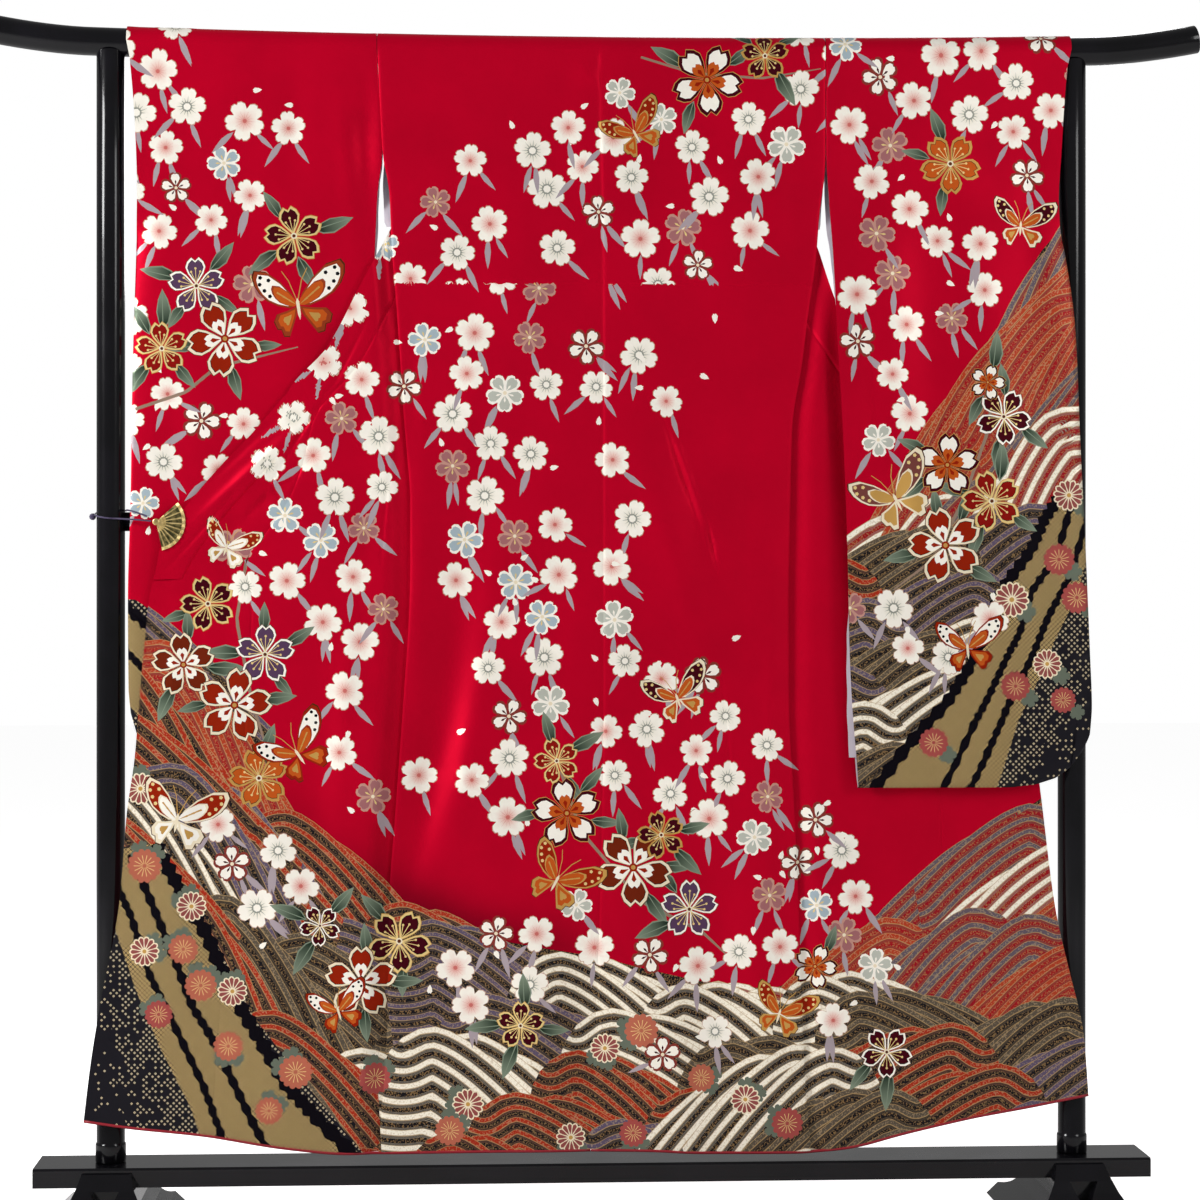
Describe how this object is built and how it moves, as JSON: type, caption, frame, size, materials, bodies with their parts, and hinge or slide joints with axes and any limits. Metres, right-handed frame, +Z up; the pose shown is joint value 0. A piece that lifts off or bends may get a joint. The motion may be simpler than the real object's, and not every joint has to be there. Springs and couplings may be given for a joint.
{
  "type": "furisode kimono on kimono stand",
  "caption": "Long-sleeved formal kimono spread back to front over the top bar of a lacquered stand, its front panels opened outwards and one sleeve drawn before a post.",
  "frame": {"origin": "floor level under the middle of the stand, the bottom centre of the bounding box", "axes": "+X along the stand's top bar, to the right as the kimono's back is seen; +Y from the kimono's back to the stand's far side; +Z up"},
  "size_m": [1.7466, 0.33, 1.7197],
  "materials": {
    "silk": "red satin silk with a printed pattern",
    "lining": "pale lavender silk",
    "piping": "crimson silk roll",
    "lacquer": "gloss black lacquer",
    "clip_brass": "antique brass",
    "cord": "twisted purple cord"
  },
  "bodies": {
    "root": {"body_left": "silk", "okumi_left": "silk", "sleeve_left": "silk", "sleeve_lining_left": "lining", "body_lining_left": "lining", "hem_piping_left": "piping", "body_right": "silk", "okumi_right": "silk", "sleeve_right": "silk", "sleeve_lining_right": "lining", "body_lining_right": "lining", "hem_piping_right": "piping", "collar": "silk", "top_bar": "lacquer", "rail": "lacquer", "base_board": "lacquer", "post_left": "lacquer", "post_right": "lacquer", "foot_left": "lacquer", "foot_right": "lacquer", "fan_clip": "clip_brass", "tie_cord": "cord"}
  },
  "joints": []
}
